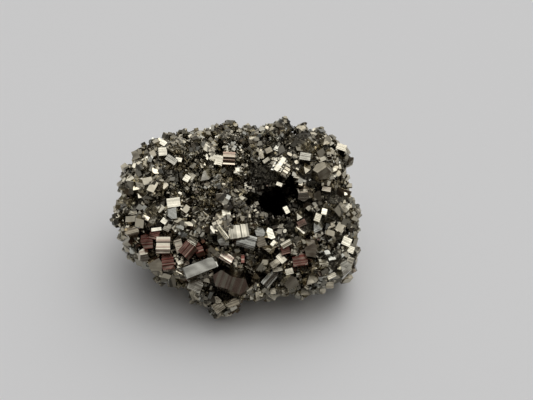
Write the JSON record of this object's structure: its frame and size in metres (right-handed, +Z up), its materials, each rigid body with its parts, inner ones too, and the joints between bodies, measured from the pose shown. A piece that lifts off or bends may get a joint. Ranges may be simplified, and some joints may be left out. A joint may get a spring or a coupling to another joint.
{
  "type": "pyrite specimen",
  "caption": "Rounded lump of intergrown blocky metallic crystals with a deep hole in its crystal face, broken flat underneath so that it rests on a surface.",
  "frame": {"origin": "middle of the lump's bounding box, on the surface it rests on", "axes": "+Z up, +X along the lump's length, to the right as the crystal face is looked at; the crystal face looks towards -Y and up at about 50 degrees"},
  "size_m": [0.0752, 0.0563, 0.0439],
  "materials": {
    "pyrite": "pale brassy metallic crystal faces, some tarnished brown"
  },
  "bodies": {
    "root": {"pyrite_cluster": "pyrite"}
  },
  "joints": []
}
